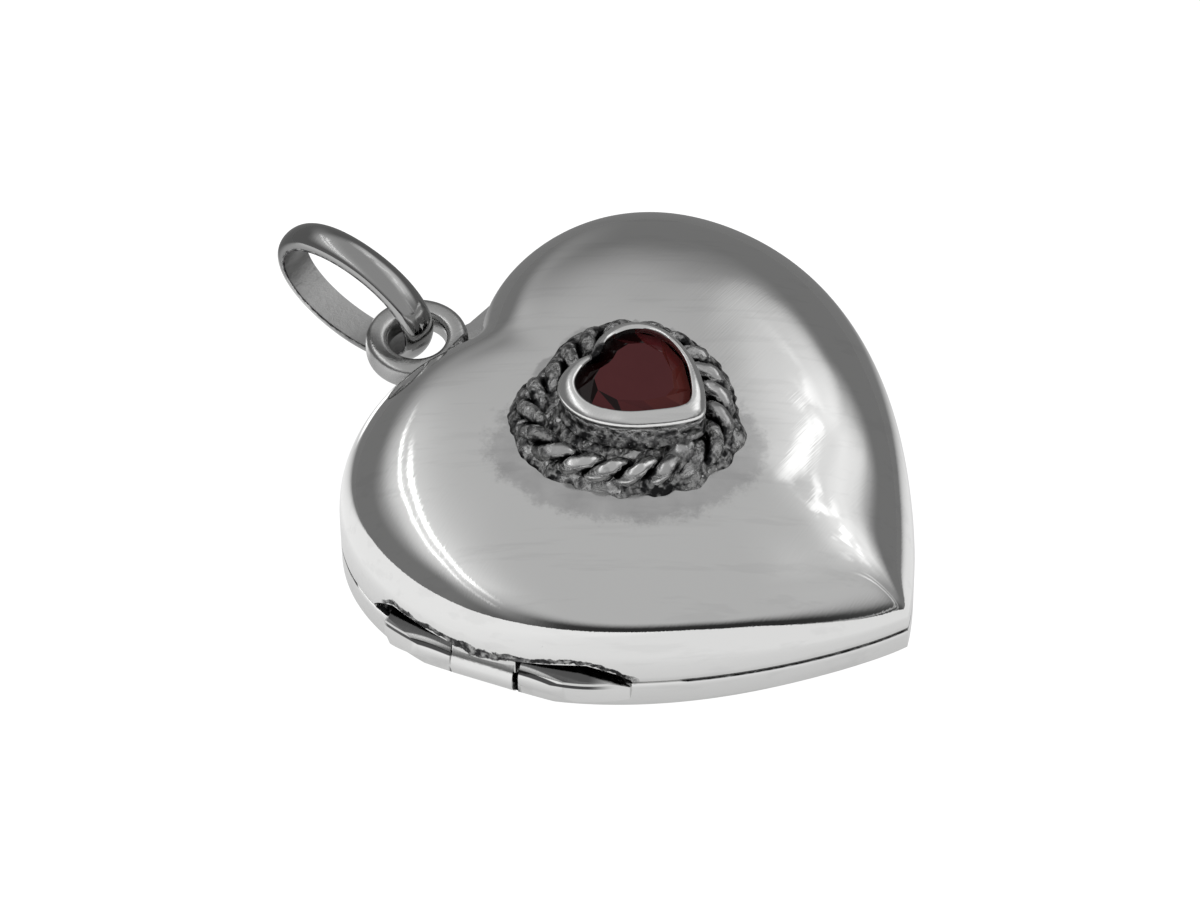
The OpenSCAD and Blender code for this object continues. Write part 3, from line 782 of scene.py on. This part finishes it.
for strand in reversed(strands):
    twist.links.new(strand.socket, join.inputs[0])
height = made.add("ShaderNodeSeparateXYZ", {0: here}, out="Z") - size["Worn height"]
worn = made.sum_node("MAXIMUM", height, 0.0) * size["Wear"] * -1.0
drop = made.add("ShaderNodeCombineXYZ", {"Z": worn})
flattened = made.add("GeometryNodeSetPosition", {"Geometry": Wired(twist, join.outputs[0]), "Offset": drop})
lumps = made.add("ShaderNodeTexNoise", {"Vector": here, "Scale": size["Lump size"], "Detail": 3.0},
                 out="Fac") - 0.55
bulge = vector("SCALE", made.add("GeometryNodeInputNormal", out=0), lumps * size["Unevenness"])
rough = made.add("GeometryNodeSetPosition", {"Geometry": flattened, "Offset": bulge})
shaded = made.add("GeometryNodeSetShadeSmooth", {"Geometry": rough, "Shade Smooth": True})
realized = made.add("GeometryNodeRealizeInstances", {0: shaded})
finished = made.add("GeometryNodeSetMaterial", {"Geometry": realized, "Material": size["Metal"]})
result = twist.nodes.new("NodeGroupOutput")
twist.links.new(finished.socket, result.inputs["Wires"])

step = rope.modifiers.new("twist", "NODES")
step.node_group = twist
for socket in twist.interface.items_tree:
    if socket.in_out == "INPUT" and socket.name in TWIST_SIZES:
        step[socket.identifier] = TWIST_SIZES[socket.name]
    elif socket.in_out == "INPUT" and socket.name == "Metal":
        step[socket.identifier] = solder_silver
rope.data = bpy.data.meshes.new_from_object(rope.evaluated_get(bpy.context.evaluated_depsgraph_get()))
rope.modifiers.clear()


def rope_oxide_and_reflection(points):
    """The whole rope is tarnished. Its crests are rubbed bright, more so towards the hinge. A thin line
    low on its outer side near the hinge is left bare as a painted reflection.
    """
    out = rope_distance(points)
    height = points[:, 2] - CROWN - ROPE_UP

    def about(place, reach):
        return np.exp(-(np.linalg.norm(points[:, :2] - place, axis=1) / reach) ** 4)

    hollow = np.clip(1 - (np.hypot(out, height) - 0.45) / 0.25, 0, 1)
    crest = np.clip((height - 0.42) / 0.14, 0, 1) * about((-4.6, 14.4), 2.7)
    right = np.clip((height - 0.30) / 0.2, 0, 1) * about((2.6, 12.8), 2.4)
    # edge: a bare line low on the outer side, standing in for reflection lines: painted reflection.
    edge = np.exp(-((height - 0.15) / 0.16) ** 2) * (out > 0.55) * about((-4.6, 14.0), 3.2)
    uneven = np.array([noise.noise(Vector(point * 2.2)) for point in points])
    return np.clip(0.50 + 0.50 * hollow - (0.56 - 0.5 * uneven) * crest - 0.34 * right - 0.5 * edge, 0, 1)


set_oxide(rope, rope_oxide_and_reflection)
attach(rope, "front")
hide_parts("front_half")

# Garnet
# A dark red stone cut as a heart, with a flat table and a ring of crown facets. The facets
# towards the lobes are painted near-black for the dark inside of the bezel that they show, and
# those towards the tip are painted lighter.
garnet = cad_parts["garnet"]
stone = bpy.data.materials.new("garnet_red")
stone.use_nodes = True
stone_shader = stone.node_tree.nodes["Principled BSDF"]
at = Wired(stone.node_tree)
facing = at.add("ShaderNodeTexCoord", out="Normal")
towards_lobes = at.add("ShaderNodeVectorMath", {0: facing, 1: (-0.35, 0.94, 0.0)},
                       {"operation": "DOT_PRODUCT"}, out="Value")
tone = at.add("ShaderNodeTexNoise", {"Vector": at.add("ShaderNodeTexCoord", out="Object"),
                                     "Scale": 900.0, "Detail": 2.0}, out="Fac")
red = tone.mixed((0.078, 0.010, 0.013, 1), (0.095, 0.016, 0.018, 1))
# Facets towards the lobes painted near-black: painted shade for the dark bezel they show.
red = towards_lobes.ramp(0.08, 0.24).mixed(red, (0.006, 0.001, 0.001, 1))
# Facets towards the tip painted lighter: painted light.
red = (towards_lobes * -1.0).ramp(0.12, 0.45).mixed(red, (0.115, 0.020, 0.016, 1))
stone.node_tree.links.new(red.socket, stone_shader.inputs["Base Color"])
stone_shader.inputs["Roughness"].default_value = 0.06
stone_shader.inputs["IOR"].default_value = 1.76
stone_shader.inputs["Specular IOR Level"].default_value = 0.12
garnet.data.materials.clear()
garnet.data.materials.append(stone)

# Floor and light
# A plain white table in a pale room. Seen straight it is plain white. In the metal's mirror its glow
# is painted a little darker, darker again beyond the locket, bright by the bail, and dimmer close
# to the case as a painted contact shadow. Panels glow in the room.
floor_white = bpy.data.materials.new("floor_white")
floor_white.use_nodes = True
floor_shader = floor_white.node_tree.nodes["Principled BSDF"]
floor_shader.inputs["Base Color"].default_value = (0.25, 0.25, 0.25, 1)
floor_shader.inputs["Roughness"].default_value = 0.9
floor_shader.inputs["Specular IOR Level"].default_value = 0.0
floor_shader.inputs["Emission Color"].default_value = (1, 1, 1, 1)
table = Wired(floor_white.node_tree)
spot = table.add("ShaderNodeTexCoord", out="Object")


def measured(kind, point):
    """The spot's distance from a point, or how far it lies along a direction."""
    return table.add("ShaderNodeVectorMath", {0: spot, 1: point}, {"operation": kind}, out="Value")


SEEN_WHITE, MIRRORED_WHITE, FLOOR_TO_CASE = 0.95, 0.84, 4.5
# Painted shade: the mirrored floor is darker beyond the locket.
beyond = measured("DOT_PRODUCT", (0.81, 0.59, 0.0)).ramp(0.002, 0.022)
leftward = measured("DOT_PRODUCT", (-0.75, 0.66, 0.0)).ramp(0.008, 0.022)
# Painted light: the mirrored floor glows brighter by the bail.
by_bail = 1 - measured("DISTANCE", (0.001, 0.026, 0.0)).ramp(0.002, 0.006)
clear_of = table.add("ShaderNodeAttribute", settings={"attribute_name": "clear_of"}, out="Fac")
mirrored = MIRRORED_WHITE - beyond * 0.77 + leftward * (1 - beyond) * 0.10 + by_bail * 1.5
# Painted contact shadow: the mirrored glow dims close to the case.
mirrored = mirrored * (0.62 + 0.38 * clear_of)
straight = table.add("ShaderNodeLightPath", out="Is Camera Ray")
glow = mirrored + (SEEN_WHITE - mirrored) * straight
floor_white.node_tree.links.new(glow.socket, floor_shader.inputs["Emission Strength"])
steps = np.concatenate([[-1.2, -0.3, -0.08, -0.04], np.linspace(-0.026, 0.034, 121), [0.05, 0.09, 0.3, 1.2]])
grid = [(x, y, -0.00002) for y in steps for x in steps]
wide = len(steps)
floor_mesh = bpy.data.meshes.new("floor")
floor_mesh.from_pydata(grid, [], [(r * wide + c, r * wide + c + 1, (r + 1) * wide + c + 1, (r + 1) * wide + c)
                                  for r in range(wide - 1) for c in range(wide - 1)])
floor_mesh.materials.append(floor_white)
spread = np.array(grid)[:, :2] * 1000 + (0, ROW_Y)
nearest = np.array([np.linalg.norm(outline - point, axis=1).min() for point in spread])
clear = floor_mesh.attributes.new("clear_of", "FLOAT", "POINT")
clear.data.foreach_set("value", np.clip(nearest / FLOOR_TO_CASE, 0, 1).astype(np.float32))
floor = bpy.data.objects.new("floor", floor_mesh)
bpy.context.scene.collection.objects.link(floor)

room = bpy.data.worlds.new("room")
room.use_nodes = True
bpy.context.scene.world = room
air = Wired(room.node_tree)
way = air.add("ShaderNodeTexCoord", out="Generated")
height = air.add("ShaderNodeSeparateXYZ", {0: way}, out="Z")


def towards(direction):
    return air.add("ShaderNodeVectorMath", {0: way, 1: direction}, {"operation": "DOT_PRODUCT"}, out="Value")


def panel(across, rise, fall, side, reach, glow):
    """A lit band of the room: where it starts and ends across a plane, and on which side of the room."""
    level = towards(across)
    return level.ramp(*rise) * (1 - level.ramp(*fall)) * towards(side).ramp(*reach) * glow


behind = towards((-0.60, -0.80, 0.0)).ramp(0.40, 0.99)
pale_from = 0.44 - behind * 0.34
pale_to = 0.80 - behind * 0.50
pale = air.add("ShaderNodeMapRange", {"Value": height, "From Min": pale_from, "From Max": pale_to},
               {"interpolation_type": "SMOOTHSTEP"})
low = 0.217 - behind * 0.185
shade = low + (0.60 - low) * pale
ripple = air.add("ShaderNodeTexNoise", {"Vector": way, "Scale": 6.0, "Detail": 2.0}, out="Fac")
LEFT, RIGHT = (-0.38, 0.73, -0.56), (0.58, -0.14, -0.80)
STRIPS, TWINS = (-0.38, 0.80, -0.46), (0.43, 0.73, -0.53)
LEFT_SIDE, TIP_SIDE = (-0.51, 0.86, 0), (0.1, -1.0, 0)
shade = shade + panel(LEFT, (-0.52, -0.03), (0.0, 0.325), LEFT_SIDE, (0.10, 0.63), 0.43)
near_tip = towards((-0.34, -0.94, 0.0)).ramp(0.25, 0.65)
rightward, edge_side = towards(RIGHT), towards((0.82, -0.58, 0))
fall_off = (rightward - air.sum_node("MAXIMUM", edge_side - 0.65, 0.0) * 0.5).ramp(-0.12, 0.14)
shade = shade + rightward.ramp(-0.58, -0.39) * (1 - fall_off) * edge_side.ramp(0.32, 0.82) * \
    (0.47 + 0.62 * ripple) * (1 - near_tip * 0.75)
going = 1 - towards((-0.94, 0.34, 0.0)).ramp(0.60, 0.80) * 0.8
strips = (panel(STRIPS, (0.054, 0.066), (0.076, 0.088), LEFT_SIDE, (0.39, 0.45), 2.3) +
          panel(STRIPS, (0.146, 0.156), (0.166, 0.176), LEFT_SIDE, (0.41, 0.48), 1.7)) * going + \
    panel(TWINS, (-0.829, -0.819), (-0.815, -0.805), TIP_SIDE, (0.70, 0.80), 0.5) + \
    panel(TWINS, (-0.789, -0.779), (-0.775, -0.765), TIP_SIDE, (0.70, 0.80), 0.35)
broken = air.add("ShaderNodeTexNoise", {"Vector": way, "Scale": 9.0, "Detail": 3.0}, out="Fac")
patches = broken.ramp(0.48, 0.64) * (1 - near_tip) * \
    panel(RIGHT, (-0.42, -0.34), (-0.20, -0.10), (0.80, -0.60, 0), (0.36, 0.44), 0.55)
glow = towards((0.72, 0.17, 0.68)).ramp(0.975, 0.998) * 0.30
shade = shade + glow + strips * (0.25 + 1.5 * ripple) + patches
room.node_tree.links.new(shade.socket, room.node_tree.nodes["Background"].inputs["Color"])
